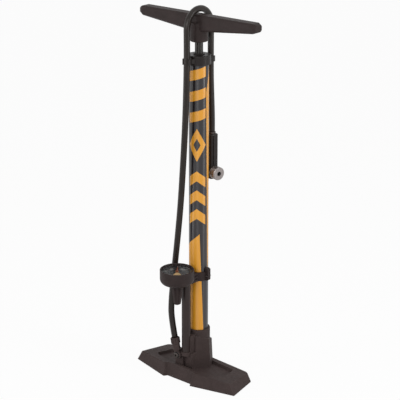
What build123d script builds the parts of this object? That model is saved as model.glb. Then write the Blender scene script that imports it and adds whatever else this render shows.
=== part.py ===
# Floor bike pump: a wide moulded foot, a slim barrel with a piston and T-handle, a face-up
# pressure gauge on a riser column, and an air hose parked over the handle with a lever head.
# Origin on the floor under the barrel axis, +X along the foot and the handle, +Y to the back, +Z up.
from build123d import *
import math
import os

# ---- general fits -------------------------------------------------------------------------
RUNNING_GAP = 0.05      # radial, shaft in a bush
SEAT_GAP = 0.1          # radial, a part seated in its socket
REST_GAP = 0.3          # between pieces that move apart

# ---- foot: a four-cornered moulding with two wings ----------------------------------------
PAD_THICK = 3.0
PAD_PROUD = 1.0
FOOT_TIP_X = 114.6
FOOT_TIP_FRONT = 38.4
FOOT_BACK_X = 100.8
FOOT_BACK = 30.0
FOOT_BACK_CORNER = 11.0
WING_ROOT_X = 30.8
WING_ROOT_FRONT = 59.6
MIDDLE_X = 26.6
MIDDLE_FRONT = 53.3
FOOT_HEIGHT = 31.0      # of the block that the roof is cut from
ROOF_HEIGHT = 21.6      # of the roof under the barrel axis
ROOF_SIDE_FALL = 0.05
ROOF_BACK_FALL = 0.083
DRAFT_STEP = 16.0
DRAFT_WING = 13.0
DRAFT_END = 27.0
DRAFT_BACK = 5.0
DRAFT_MIDDLE = 13.0
FOOT_EDGE_ROUND = 1.6
FOOT_WALL = 3.5
RIM_WING = 20.0
RIM_END = 32.5
RIM_BACK = 12.5
RIM_MIDDLE = 12.5
PAN_DEPTH = 5.0
PAN_DRAFT = 18.0
PAN_CORNER = 9.0
PAN_SKIN = 3.2
RIB_THICK = 3.0
RIB_X = (56.0,)
RIB_Y = -14.0
PAD_X = 94.0
PAD_Y = -11.0
PAD_LENGTH = 40.0
PAD_WIDTH = 13.0
PAD_STUD_R = 3.0
PAD_STUD_DEEP = 5.0
CENTRE_PAD_R = 21.0
CORE_R = 24.5

# ---- tower on the foot that holds the barrel ----------------------------------------------
TOWER_CORNER_R = 27.9
TOWER_BOTTOM = 13.0
TOWER_TOP = 70.0        # on the barrel axis; the top falls to the back
TOWER_TOP_FALL = 0.4167
TOWER_DRAFT = 2.5
TOWER_EDGE_ROUND = 3.0
COLLAR_R = 20.6
COLLAR_TOP = 87.0
COLLAR_ROUND = 2.0

# ---- barrel, its foot plug and the check valve --------------------------------------------
BARREL_OD = 34.0
BARREL_WALL = 2.0
BARREL_BOTTOM = 34.0
BARREL_TOP = 571.5
PLUG_BOTTOM = 22.0
PLUG_TOP = 54.0
ORING_WIRE = 2.0
VALVE_BORE_R = 3.0
VALVE_SEAT_DEEP = 8.0
CHAMBER_R = 5.0
BALL_R = 4.0
SPRING_WIRE = 0.7
SPRING_TURNS = 4
PORT_R = 2.0
PORT_Z = 28.0
BASE_SCREW_R = 2.0
BASE_SCREW_HEAD_R = 4.0
BASE_SCREW_HEAD = 3.0
BASE_SCREW_CIRCLE = 10.0
BASE_SCREW_DEEP = 12.0

# ---- riser column between the foot and the gauge -------------------------------------------
RISER_Y = -33.0
RISER_OD = 16.0
RISER_WALL = 3.5
RISER_BOTTOM = 46.0
RISER_TOP = 186.0
SADDLE_BOTTOM = 43.0
SADDLE_CUP_TOP = 50.0
SADDLE_TOP = 80.0
SADDLE_WALL = 1.6
SADDLE_WEB_HALF = 14.0
SADDLE_WEB_FRONT = -34.0
SADDLE_WEB_TOP = 48.0

# ---- hose union on the foot ----------------------------------------------------------------
EYE_X = -11.5
EYE_Y = -43.0
EYE_Z = 43.0
EYE_R = 7.5
EYE_THICK = 6.0
EYE_LEAN = 11.5
NECK_R = 4.4
UNION_SEAL = 0.7
UNION_BOLT_R = 3.2
UNION_HEAD_R = 4.8
UNION_HEAD = 2.2
BOSS_BACK = -20.0
SLEEVE_NECK_R = 6.8
SLEEVE_COLLAR_R = 8.3
SLEEVE_START = 9.5
SLEEVE_COLLAR = 21.0
SLEEVE_END = 32.5

# ---- hose: one length from the union to the head, in three stretches ------------------------
HOSE_OD = 10.8
CLIP_Y = 30.5
RISER_ROUTE = [
    (-17.98, -43.0, 74.85), (-25.46, -43.0, 111.6), (-27.6, -41.2, 140.0), (-29.2, -35.6, 172.0),
    (-28.5, -29.6, 210.0), (-24.0, -27.6, 252.0), (-14.6, -28.6, 318.0), (-6.0, -30.0, 396.0),
    (-1.4, -30.3, 474.0), (0.0, -30.5, 535.0), (0.0, -30.5, 580.0),
]
LOOP_ROUTE = [
    (0.0, -30.5, 580.0), (0.0, -30.5, 609.0), (0.0, -31.0, 640.4), (0.0, -12.8, 658.6),
    (0.0, 12.8, 658.6), (0.0, 31.0, 640.4), (0.0, 30.5, 609.0), (0.0, 30.5, 580.0),
]
DROP_ROUTE = [
    (0.0, 30.5, 580.0), (0.0, 30.5, 540.0), (1.2, 31.4, 496.0), (2.0, 32.0, 466.0),
    (2.0, 32.0, 442.0),
]

# ---- gauge ---------------------------------------------------------------------------------
GAUGE_Y = -57.0
GAUGE_R = 29.8
GAUGE_BOTTOM = 186.5
GAUGE_TOP = 213.2
GAUGE_ROUND = 10.0
GAUGE_WALL = 3.0
GAUGE_FLOOR = 3.5
BEZEL_HEIGHT = 2.6
BEZEL_LIP = 2.6
BEZEL_LIP_THICK = 1.0
DIAL_Z = 208.8
DIAL_THICK = 1.0
NEEDLE_GAP = 0.5
NEEDLE_THICK = 0.6
NEEDLE_LENGTH = 20.0
NEEDLE_TAIL = 6.0
NEEDLE_HUB_R = 2.8
NEEDLE_START = 128.0    # plan angle of the needle at zero pressure
SPINDLE_R = 0.8
MOVEMENT_PLATE_R = 12.0
MOVEMENT_PLATE = 2.0
MOVEMENT_POST_R = 3.0
BOURDON_R = 18.5
BOURDON_TUBE_R = 2.0
BOURDON_ARC = 255.0
STEM_TIP = 148.0
STEM_TOP_R = 13.0
STEM_TIP_R = 6.5
STEM_CORE_TOP_R = 8.0
STEM_CORE_TIP_R = 5.6
STEM_FIN = 4.6

# ---- bracket and clamp from the gauge to the barrel -----------------------------------------
CLAMP_BOTTOM = 181.0
CLAMP_TOP = 197.0
CLAMP_WALL = 2.2
CLAMP_EAR_X = 24.5
CLAMP_EAR_THICK = 3.5
CLAMP_EAR_TOP = 203.5   # the right ear is the taller one
CLAMP_EAR_ROUND = 3.0
CLAMP_SPLIT = 0.6
ARM_HALF = 12.0
ARM_GROOVE = 1.5
CLAMP_SCREW_R = 1.4
CLAMP_SCREW_HEAD_R = 2.4
CLAMP_SCREW_HEAD = 1.8

# ---- top cap with the rod bush and the two hose clips ----------------------------------------
CAP_R = 20.5
CAP_TOP = 582.0
CAP_ROUND = 1.5
CAP_SKIRT = 566.0
CAP_SPIGOT_BOTTOM = 553.0
BUSH_WALL = 2.5
BUSH_BOTTOM = 560.0
BUSH_TOP = 584.0
BUSH_FLANGE_R = 11.5
BUSH_FLANGE = 1.6
SEAL_HEIGHT = 4.0
BUFFER_HEIGHT = 8.0
CLIP_FRONT = (569.0, 579.0)
CLIP_BACK = (565.0, 574.5)
CLIP_WEB_DROP = 2.0
CLIP_WALL = 2.0
CLIP_MOUTH = 96.0
CLIP_WEB_CAP_HALF = 8.0
CLIP_WEB_HALF = 4.8

# ---- piston and rod ---------------------------------------------------------------------------
ROD_OD = 14.0
ROD_WALL = 1.6
PISTON_HEIGHT = 16.0
PISTON_FIT = 0.4
SEAL_GROOVE_Z = 7.0
SEAL_WIRE = 3.0
PISTON_NUT_R = 5.5
PISTON_NUT = 4.0

# ---- handle --------------------------------------------------------------------------------------
HANDLE_REST = 20.0      # the hub stops this far above the bush
HANDLE_HALF = 126.0
HANDLE_END_BEVEL = 6.0
HANDLE_DEPTH_MID = 22.0
HANDLE_DEPTH_END = 21.0
HANDLE_HEIGHT_MID = 27.4
HANDLE_HEIGHT_END = 16.6
HANDLE_TOP_CHAMFER = 2.6
HANDLE_BOTTOM_CHAMFER = 3.0
HUB_R = 15.0
HUB_SOCKET = 32.0
HUB_ROUND = 2.0
BOLT_WEB = 5.0
HANDLE_WELL_R = 8.0
HANDLE_PLUG = 2.6
HANDLE_BOLT_R = 3.0
HANDLE_BOLT_HEAD_R = 5.0
HANDLE_BOLT_HEAD = 4.0
HANDLE_BOLT_DEEP = 18.0
HANDLE_WASHER = 1.0
HANDLE_PLUG_GAP = 0.8

# ---- lever head on the free end of the hose --------------------------------------------------------
HEAD_X = 2.0
HEAD_Y = 32.0
HEAD_Z = 370.0
HEAD_TURN = -13.0
HEAD_WIDTH = 18.0
HEAD_DEPTH = 17.0
HEAD_BELOW = 12.0
HEAD_ABOVE = 68.0
HEAD_ROUND = 5.0
HEAD_FERRULE_R = 6.6
HEAD_FERRULE_ABOVE = 72.0
HEAD_RIB_HALF = 3.5
HEAD_RIB_PROUD = 1.6
HEAD_BORE_R = 6.4
CHUCK_R = 11.5
CHUCK_START = 7.5
CHUCK_FACE = 21.5
CHUCK_LIP = 3.4
CHUCK_SPIGOT_R = 8.6
VALVE_SOCKET_R = 4.0
GASKET_R = 6.3
GASKET_START = 9.0
PLUNGER_R = 5.6
PLUNGER_GASKET_GAP = 2.6
PLUNGER_TRAVEL = 2.0
CAM_GAP = 0.5
LEVER_PIVOT_X = -8.5
LEVER_CAM_R = 5.0
LEVER_CAM_WIDTH = 8.0
LEVER_SLOT_GAP = 0.4
LEVER_THICK = 3.6
LEVER_WIDTH = 13.0
LEVER_LENGTH = 58.0
LEVER_EAR_R = 6.5
LEVER_PIN_R = 1.6


# ---- sizes that follow from the ones above ---------------------------------------------------------
BARREL_R = BARREL_OD / 2
BARREL_BORE_R = BARREL_R - BARREL_WALL
ROD_R = ROD_OD / 2
RISER_R = RISER_OD / 2
RISER_BORE_R = RISER_R - RISER_WALL
HOSE_R = HOSE_OD / 2
PISTON_BOTTOM = PLUG_TOP + REST_GAP
PISTON_TOP = PISTON_BOTTOM + PISTON_HEIGHT
VALVE_SEAT_Z = PLUG_TOP - VALVE_SEAT_DEEP
BALL_Z = VALVE_SEAT_Z - math.sqrt(BALL_R ** 2 - VALVE_BORE_R ** 2) - 0.05
UNION_FACE = EYE_Y + EYE_THICK / 2 + UNION_SEAL
UNION_FRONT = EYE_Y - EYE_THICK / 2 - UNION_SEAL
BEZEL_BOTTOM = GAUGE_TOP - BEZEL_HEIGHT
NEEDLE_Z = DIAL_Z + NEEDLE_GAP
BUSH_BORE_R = ROD_R + RUNNING_GAP
BUSH_OUTER_R = ROD_R + BUSH_WALL
BUFFER_TOP = CAP_SPIGOT_BOTTOM
HUB_BOTTOM = BUSH_TOP + HANDLE_REST
ROD_TOP = HUB_BOTTOM + HUB_SOCKET
WEB_BOTTOM = ROD_TOP + REST_GAP
WEB_TOP = WEB_BOTTOM + BOLT_WEB
WASHER_Z = WEB_TOP + REST_GAP
HANDLE_TOP = WASHER_Z + HANDLE_WASHER + HANDLE_BOLT_HEAD + HANDLE_PLUG_GAP + HANDLE_PLUG
CAM_REACH = LEVER_PIVOT_X + LEVER_CAM_R
PLUNGER_START = CAM_REACH + CAM_GAP
PLUNGER_END = GASKET_START - PLUNGER_GASKET_GAP
LOW = (Align.CENTER, Align.CENTER, Align.MIN)


def rod(radius, low, high, x=0.0, y=0.0):
    """An upright cylinder between two heights."""
    return Pos(x, y, low) * Cylinder(radius, high - low, align=LOW)


def ring(outer, inner, low, high, x=0.0, y=0.0):
    """An upright tube between two heights."""
    return rod(outer, low, high, x, y) - rod(inner, low - 1, high + 1, x, y)


def block(x0, x1, y0, y1, z0, z1):
    """A box between its two opposite corners."""
    size = Box(x1 - x0, y1 - y0, z1 - z0, align=(Align.MIN, Align.MIN, Align.MIN))
    return Pos(x0, y0, z0) * size


def bar_along_y(radius, y0, y1, x, z):
    """A cylinder that lies along Y."""
    return Pos(x, y0, z) * Rot(-90, 0, 0) * Cylinder(radius, y1 - y0, align=LOW)


def bar_along_x(radius, x0, x1, y=0.0, z=0.0):
    """A cylinder that lies along X."""
    return Pos(x0, y, z) * Rot(0, 90, 0) * Cylinder(radius, x1 - x0, align=LOW)


def plate_xz(points, half_width):
    """A profile drawn in the XZ plane, as thick as twice the half width along Y."""
    face = make_face(Polyline(*[(x, 0, z) for x, z in points], close=True))
    return extrude(face, half_width, dir=(0, 1, 0), both=True)


def torus(radius, wire, z, x=0.0, y=0.0):
    """A sealing ring of round wire."""
    return Pos(x, y, z) * Torus(radius, wire / 2)


def save(name, shape):
    """Write one node's STEP file."""
    export_step(shape, f"parts/{name}.step")


# ---- foot -----------------------------------------------------------------------------------------
def foot_outline():
    """Corners of the foot at the floor, anticlockwise, from the middle step on the right."""
    right = [
        (MIDDLE_X, -MIDDLE_FRONT), (WING_ROOT_X, -WING_ROOT_FRONT),
        (FOOT_TIP_X, -FOOT_TIP_FRONT), (FOOT_BACK_X, FOOT_BACK),
    ]
    left = [(-x, y) for x, y in reversed(right)]
    return right + left


def inset(points, distances):
    """Move each side of a polygon inwards by its own distance and return the new corners."""
    lines = []
    count = len(points)
    for i, (x, y) in enumerate(points):
        nx, ny = points[(i + 1) % count]
        length = math.hypot(nx - x, ny - y)
        normal = (-(ny - y) / length, (nx - x) / length)
        lines.append((normal, normal[0] * x + normal[1] * y + distances[i]))
    corners = []
    for i in range(count):
        (a, c), (b, d) = lines[i - 1], lines[i]
        det = a[0] * b[1] - a[1] * b[0]
        corners.append(((c * b[1] - d * a[1]) / det, (a[0] * d - b[0] * c) / det))
    return corners


def sides(step, wing, end, back, middle):
    """One value for each side of the foot, in the order of its corners."""
    return [step, wing, end, back, end, wing, step, middle]


def drafted(points, low, high, corner):
    """A solid whose sides lean in by the foot's draft angles, with its two back corners rounded."""
    angles = sides(DRAFT_STEP, DRAFT_WING, DRAFT_END, DRAFT_BACK, DRAFT_MIDDLE)
    lean = [math.tan(math.radians(a)) * (high - low) for a in angles]
    lower = make_face(Polyline(*[(x, y, low) for x, y in points], close=True))
    upper = make_face(Polyline(*[(x, y, high) for x, y in inset(points, lean)], close=True))
    solid = loft([lower, upper], ruled=True)
    back = solid.edges().filter_by(lambda e: abs(e.tangent_at(0.5).Z) > 0.6 and e.center().Y > 0)
    return fillet(back, corner)


def above_roof(drop, side):
    """Everything above one side's plane of the roof, let down by a distance."""
    roof = Plane(origin=(0, 0, ROOF_HEIGHT - drop), z_dir=(side * ROOF_SIDE_FALL, ROOF_BACK_FALL, 1))
    return roof * Box(4 * FOOT_TIP_X, 4 * FOOT_TIP_X, 3 * FOOT_HEIGHT, align=LOW)


def sunken_pan():
    """The pan's outline with leaning walls, open upwards from its floor."""
    rims = sides(RIM_WING, RIM_WING, RIM_END, RIM_BACK, RIM_MIDDLE)
    corners = inset(foot_outline(), rims)
    front = corners[0][1]
    outline = [(WING_ROOT_X, front)] + corners[2:6] + [(-WING_ROOT_X, front)]
    faces = []
    for z in (0, FOOT_HEIGHT):
        lean = (ROOF_HEIGHT - z) * math.tan(math.radians(PAN_DRAFT))
        corners = inset(outline, [lean] * len(outline))
        faces.append(make_face(Polyline(*[(x, y, z) for x, y in corners], close=True)))
    pan = loft(faces, ruled=True)
    pan = fillet(pan.edges().filter_by(lambda e: abs(e.tangent_at(0.5).Z) > 0.6), PAN_CORNER)
    return (pan & above_roof(PAN_DEPTH, 1)) + (pan & above_roof(PAN_DEPTH, -1))


def foot_shell():
    """The wing-shaped moulding with its sunken pan and its hollow, ribbed underside."""
    body = drafted(foot_outline(), PAD_PROUD, FOOT_HEIGHT, FOOT_BACK_CORNER)
    walls = sides(FOOT_WALL, FOOT_WALL, FOOT_WALL, FOOT_WALL, FOOT_WALL)
    hollow = drafted(inset(foot_outline(), walls), 0, FOOT_HEIGHT, FOOT_BACK_CORNER - FOOT_WALL)
    for side in (1, -1):
        body -= above_roof(0, side)
        hollow -= above_roof(PAN_DEPTH + PAN_SKIN, side)
    top = body.edges().filter_by(lambda e: e.center().Z > PAD_PROUD + 1)
    body = fillet(top, FOOT_EDGE_ROUND) - sunken_pan()
    keep = rod(CORE_R, 0, FOOT_HEIGHT)
    for side in (1, -1):
        for x in RIB_X:
            keep += block(side * x - RIB_THICK / 2, side * x + RIB_THICK / 2,
                          -WING_ROOT_FRONT, FOOT_BACK, PAD_PROUD, FOOT_HEIGHT)
        keep += Pos(side * PAD_X, PAD_Y, 0) * pad_outline(FOOT_HEIGHT, 2.0)
    keep += block(-PAD_X, PAD_X, RIB_Y - RIB_THICK / 2, RIB_Y + RIB_THICK / 2, PAD_PROUD, FOOT_HEIGHT)
    return body - (hollow - keep)


def pad_outline(height, margin=0.0):
    """The long rounded outline of a side pad."""
    return extrude(SlotOverall(PAD_LENGTH + 2 * margin, PAD_WIDTH + 2 * margin, rotation=90), height)


def base_foot():
    """Foot shell, barrel tower, riser saddle and union boss, moulded in one piece."""
    body = foot_shell()
    hexagon = RegularPolygon(TOWER_CORNER_R, 6)
    tower = Pos(0, 0, TOWER_BOTTOM) * extrude(hexagon, COLLAR_TOP - TOWER_BOTTOM, taper=TOWER_DRAFT)
    upright = tower.edges().filter_by(lambda e: abs(e.tangent_at(0.5).Z) > 0.9)
    tower = fillet(upright, TOWER_EDGE_ROUND)
    slant = Plane(origin=(0, 0, TOWER_TOP), z_dir=(0, TOWER_TOP_FALL, 1))
    tower -= slant * Box(4 * TOWER_CORNER_R, 4 * TOWER_CORNER_R, TOWER_TOP, align=LOW)
    tower = fillet(tower.faces().sort_by(Axis.Z)[-1].edges(), COLLAR_ROUND)
    collar = rod(COLLAR_R, BARREL_BOTTOM, COLLAR_TOP)
    collar = fillet(collar.edges().sort_by(Axis.Z)[-1], COLLAR_ROUND)
    body += tower + collar

    saddle_r = RISER_R + SADDLE_WALL
    cup = rod(saddle_r, SADDLE_BOTTOM, SADDLE_CUP_TOP, 0, RISER_Y)
    cup = fillet(cup.edges().sort_by(Axis.Z)[-1], SADDLE_WALL / 2)
    saddle = block(-saddle_r, saddle_r, RISER_Y, 0, SADDLE_BOTTOM, SADDLE_TOP)
    saddle = fillet(saddle.edges().group_by(Axis.Z)[-1], SADDLE_WALL / 2)
    web = block(-SADDLE_WEB_HALF, SADDLE_WEB_HALF, SADDLE_WEB_FRONT, 0, TOWER_BOTTOM, SADDLE_WEB_TOP)
    web = fillet(web.edges().group_by(Axis.Z)[-1], COLLAR_ROUND)
    boss = bar_along_y(EYE_R + 1, UNION_FACE, BOSS_BACK, EYE_X, EYE_Z)
    boss += block(EYE_X - EYE_R - 1, EYE_X + EYE_R + 1, UNION_FACE, BOSS_BACK, TOWER_BOTTOM, EYE_Z)
    body += cup + saddle + web + boss
    body -= bar_along_y(EYE_R + 0.6, -MIDDLE_FRONT, UNION_FACE, EYE_X, EYE_Z)
    body -= union_frame() * rod(NECK_R + 0.6, EYE_R - 2, 2 * SLEEVE_START)
    body -= union_frame() * rod(SLEEVE_COLLAR_R + REST_GAP, SLEEVE_START, SLEEVE_END)

    body -= rod(BARREL_R + SEAT_GAP, BARREL_BOTTOM, COLLAR_TOP + 1)
    body -= rod(BARREL_BORE_R + SEAT_GAP, PLUG_BOTTOM, BARREL_BOTTOM + 1)
    body -= rod(RISER_R + SEAT_GAP, RISER_BOTTOM, COLLAR_TOP, 0, RISER_Y)
    channel_y = RISER_Y + RISER_BORE_R - PORT_R
    body -= rod(PORT_R, PORT_Z, RISER_BOTTOM + 1, 0, channel_y)
    body -= bar_along_y(PORT_R, channel_y, -CHAMBER_R, 0, PORT_Z)
    body -= bar_along_y(UNION_BOLT_R + SEAT_GAP, UNION_FACE - 1, BOSS_BACK - 4, EYE_X, EYE_Z)
    body -= bar_along_x(PORT_R, EYE_X, 0, channel_y, EYE_Z)
    body -= rod(CENTRE_PAD_R + REST_GAP, 0, PAD_THICK)
    for side in (1, -1):
        body -= Pos(side * PAD_X, PAD_Y, 0) * pad_outline(PAD_THICK, SEAT_GAP)
        body -= rod(PAD_STUD_R + SEAT_GAP, 0, PAD_THICK + PAD_STUD_DEEP + SEAT_GAP, side * PAD_X, PAD_Y)
    for angle in (90, 210, 330):
        x = BASE_SCREW_CIRCLE * math.cos(math.radians(angle))
        y = BASE_SCREW_CIRCLE * math.sin(math.radians(angle))
        body -= rod(BASE_SCREW_R + SEAT_GAP, 0, PLUG_BOTTOM + 1, x, y)
        body -= rod(BASE_SCREW_HEAD_R + REST_GAP, 0, PAD_THICK + BASE_SCREW_HEAD + REST_GAP, x, y)
    return body


def side_pad(side):
    """Rubber pad pressed under a wing, with a stud that holds it."""
    pad = Pos(side * PAD_X, PAD_Y, 0) * pad_outline(PAD_THICK)
    pad = chamfer(pad.faces().sort_by(Axis.Z)[0].edges(), 0.6)
    return pad + rod(PAD_STUD_R, PAD_THICK - 0.5, PAD_THICK + PAD_STUD_DEEP, side * PAD_X, PAD_Y)


def centre_pad():
    """Round rubber pad under the tower that hides the screws."""
    pad = rod(CENTRE_PAD_R, 0, PAD_THICK)
    return chamfer(pad.faces().sort_by(Axis.Z)[0].edges(), 0.6)


def base_screws():
    """Three screws that pull the barrel's plug down into the foot."""
    screws = []
    for angle in (90, 210, 330):
        x = BASE_SCREW_CIRCLE * math.cos(math.radians(angle))
        y = BASE_SCREW_CIRCLE * math.sin(math.radians(angle))
        head_top = PAD_THICK + BASE_SCREW_HEAD + REST_GAP
        shank = rod(BASE_SCREW_R, head_top - 0.5, PLUG_BOTTOM + BASE_SCREW_DEEP, x, y)
        screws.append(shank + rod(BASE_SCREW_HEAD_R, head_top - BASE_SCREW_HEAD, head_top, x, y))
    return Compound(screws)


# ---- barrel ----------------------------------------------------------------------------------------
def barrel_tube():
    return ring(BARREL_R, BARREL_BORE_R, BARREL_BOTTOM, BARREL_TOP)


def barrel_plug():
    """Closes the barrel's foot, and holds the check valve's seat and chamber."""
    plug = rod(BARREL_BORE_R - SEAT_GAP, PLUG_BOTTOM, PLUG_TOP)
    plug = chamfer(plug.edges().sort_by(Axis.Z)[-1], 0.8)
    plug -= rod(VALVE_BORE_R, VALVE_SEAT_Z - 1, PLUG_TOP + 1)
    plug -= rod(CHAMBER_R, PLUG_BOTTOM - 1, VALVE_SEAT_Z)
    plug -= bar_along_y(PORT_R, -BARREL_BORE_R, 0, 0, PORT_Z)
    low, high = oring_z() - 1.3, oring_z() + 1.3
    plug -= ring(BARREL_BORE_R, BARREL_BORE_R - ORING_WIRE, low, high)
    for angle in (90, 210, 330):
        x = BASE_SCREW_CIRCLE * math.cos(math.radians(angle))
        y = BASE_SCREW_CIRCLE * math.sin(math.radians(angle))
        plug -= rod(BASE_SCREW_R + RUNNING_GAP, 0, PLUG_BOTTOM + BASE_SCREW_DEEP + REST_GAP, x, y)
    return plug


def oring_z():
    return (BARREL_BOTTOM + PLUG_TOP) / 2


def plug_oring():
    """Seals the plug in the barrel."""
    return torus(BARREL_BORE_R - ORING_WIRE / 2, ORING_WIRE - 0.1, oring_z())


def check_ball():
    return Pos(0, 0, BALL_Z) * Sphere(BALL_R)


def valve_spring():
    """Holds the check ball on its seat."""
    radius = CHAMBER_R - SPRING_WIRE - 0.4
    low = PLUG_BOTTOM + SPRING_WIRE / 2 + 0.1
    high = BALL_Z - math.sqrt(BALL_R ** 2 - (radius - SPRING_WIRE / 2) ** 2) - SPRING_WIRE / 2 - 0.1
    helix = Helix(pitch=(high - low) / SPRING_TURNS, height=high - low, radius=radius)
    profile = Plane(origin=helix @ 0, z_dir=helix % 0) * Circle(SPRING_WIRE / 2)
    return Pos(0, 0, low) * sweep(profile, path=helix, is_frenet=True)


# ---- riser -------------------------------------------------------------------------------------------
def gauge_riser():
    """Column that carries the gauge and brings the air up to it."""
    return ring(RISER_R, RISER_BORE_R, RISER_BOTTOM, RISER_TOP, 0, RISER_Y)


# ---- hose union --------------------------------------------------------------------------------------
def union_frame():
    """Frame at the eye's centre, with Z along the hose's way out."""
    return Pos(EYE_X, EYE_Y, EYE_Z) * Rot(0, -EYE_LEAN, 0)


def hose_union():
    """Eye that turns on the hollow bolt, with the neck and barb that the hose is pushed on."""
    body = bar_along_y(EYE_R, -EYE_THICK / 2, EYE_THICK / 2, 0, 0)
    body = fillet(body.edges(), 0.8)
    body += rod(NECK_R, UNION_HEAD_R + 1.2, SLEEVE_START + 1)
    body -= bar_along_y(UNION_BOLT_R + SEAT_GAP, -EYE_THICK, EYE_THICK, 0, 0)
    body -= rod(1.6, 0, SLEEVE_START + 2)
    return union_frame() * body


def union_bolt():
    """Hollow bolt through the eye into the boss."""
    shank = bar_along_y(UNION_BOLT_R, UNION_FRONT, BOSS_BACK - 6, EYE_X, EYE_Z)
    head = bar_along_y(UNION_HEAD_R, UNION_FRONT - UNION_HEAD, UNION_FRONT, EYE_X, EYE_Z)
    head = fillet(head.edges().sort_by(Axis.Y)[0], UNION_HEAD - 1.0)
    socket = Rot(-90, 0, 0) * extrude(RegularPolygon(2.3, 6), 2.2)
    return shank + head - Pos(EYE_X, UNION_FRONT - UNION_HEAD, EYE_Z) * socket


def union_seals():
    """Two sealing washers, one each side of the eye."""
    seals = []
    for y in (UNION_FRONT, EYE_Y + EYE_THICK / 2):
        disc = bar_along_y(UNION_HEAD_R + 0.8, y, y + UNION_SEAL, EYE_X, EYE_Z)
        seals.append(disc - bar_along_y(UNION_BOLT_R + SEAT_GAP, y - 1, y + UNION_SEAL + 1, EYE_X, EYE_Z))
    return Compound(seals)


def hose_sleeve():
    """Moulded sleeve that clamps the hose on the union, with a ribbed collar round the hose."""
    sleeve = rod(SLEEVE_NECK_R, SLEEVE_START, SLEEVE_COLLAR + 1)
    collar = rod(SLEEVE_COLLAR_R, SLEEVE_COLLAR, SLEEVE_END)
    collar = chamfer(collar.edges(), 1.2)
    for i in range(12):
        groove = block(SLEEVE_COLLAR_R - 0.6, SLEEVE_COLLAR_R + 1, -0.8, 0.8,
                       SLEEVE_COLLAR - 1, SLEEVE_END + 1)
        collar -= Rot(0, 0, 15 + 30 * i) * groove
    sleeve += collar
    sleeve -= rod(NECK_R + SEAT_GAP, SLEEVE_START - 1, SLEEVE_START + 1 + SEAT_GAP)
    return union_frame() * sleeve


# ---- hose --------------------------------------------------------------------------------------------
def hose(route, name):
    """A tube along straight runs joined by arcs as large as the runs allow."""
    points = [Vector(*p) for p in route]
    runs = [(b - a).length for a, b in zip(points, points[1:])]
    radii = []
    for i in range(1, len(points) - 1):
        turn = (points[i] - points[i - 1]).get_angle(points[i + 1] - points[i])
        radii.append(0.45 * min(runs[i - 1], runs[i]) / math.tan(math.radians(turn) / 2))
    path = FilletPolyline(*points, radius=radii)
    profile = Plane(origin=points[0], z_dir=points[1] - points[0]) * Circle(HOSE_R)
    tube = sweep(profile, path=path)
    length = sum(edge.length for edge in path.edges())
    ratio = tube.volume / (math.pi * HOSE_R ** 2 * length)
    print(name, "runs", [round(r) for r in runs], "radii", [round(r) for r in radii],
          "length", round(length, 1), "volume ratio", round(ratio, 5))
    return tube


# ---- gauge -------------------------------------------------------------------------------------------
def gauge_housing():
    """Cup for the gauge, its finned stem cover, and the arm with the front half of the clamp."""
    cup = rod(GAUGE_R, GAUGE_BOTTOM, BEZEL_BOTTOM, 0, GAUGE_Y)
    cup = fillet(cup.edges().sort_by(Axis.Z)[0], GAUGE_ROUND)
    core = Cone(STEM_CORE_TIP_R, STEM_CORE_TOP_R, GAUGE_BOTTOM + 1 - STEM_TIP, align=LOW)
    core = fillet(core.edges().sort_by(Axis.Z)[0], 1.5)
    fin = plate_xz([(-STEM_TOP_R, GAUGE_BOTTOM + 1), (-STEM_TIP_R, STEM_TIP + 1.5),
                    (STEM_TIP_R, STEM_TIP + 1.5), (STEM_TOP_R, GAUGE_BOTTOM + 1)], STEM_FIN / 2)
    cup += Pos(0, GAUGE_Y, STEM_TIP) * core
    for angle in (0, 90):
        cup += Pos(0, GAUGE_Y, 0) * Rot(0, 0, angle) * fin
    clamp_r = BARREL_R + CLAMP_WALL
    arm = block(-ARM_HALF, ARM_HALF, GAUGE_Y + GAUGE_R - 8, 0, CLAMP_BOTTOM, CLAMP_TOP)
    for z in (CLAMP_BOTTOM + 5, CLAMP_TOP - 5):
        for side in (1, -1):
            arm -= block(side * ARM_HALF - ARM_GROOVE, side * ARM_HALF + ARM_GROOVE,
                         GAUGE_Y + GAUGE_R + 2, -BARREL_R, z - 1.0, z + 1.0)
    arm += rod(clamp_r, CLAMP_BOTTOM, CLAMP_TOP) + clamp_ears(-CLAMP_EAR_THICK)
    arm -= block(-2 * clamp_r, 2 * clamp_r, -CLAMP_SPLIT / 2, 2 * clamp_r, 0, GAUGE_TOP)
    cup += arm
    cup -= rod(BARREL_R + SEAT_GAP, 0, GAUGE_TOP)
    cup -= rod(RISER_R + SEAT_GAP, 0, RISER_TOP, 0, RISER_Y)
    bowl = rod(GAUGE_R - GAUGE_WALL, GAUGE_BOTTOM + GAUGE_FLOOR, GAUGE_TOP, 0, GAUGE_Y)
    cup -= chamfer(bowl.edges().sort_by(Axis.Z)[0], 2.0)
    cup -= clamp_holes()
    return cup


def clamp_ears(thick):
    """The ears on both sides of one half of the clamp; the right one stands taller than its ring."""
    ears = block(-CLAMP_EAR_X, 0, min(thick, 0), max(thick, 0), CLAMP_BOTTOM, CLAMP_TOP)
    ears += block(0, CLAMP_EAR_X, min(thick, 0), max(thick, 0), CLAMP_BOTTOM, CLAMP_EAR_TOP)
    outer = ears.edges().filter_by(Axis.Y).filter_by(lambda e: abs(e.center().X) > BARREL_R)
    ears = fillet(outer, CLAMP_EAR_ROUND)
    return ears - rod(BARREL_R + 0.5, 0, GAUGE_TOP)


def clamp_screw_places():
    """Centres of the two clamp screws in the ears."""
    x = (BARREL_R + CLAMP_WALL + CLAMP_EAR_X) / 2
    z = (CLAMP_BOTTOM + CLAMP_TOP) / 2
    return [(x, z), (-x, z)]


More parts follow.
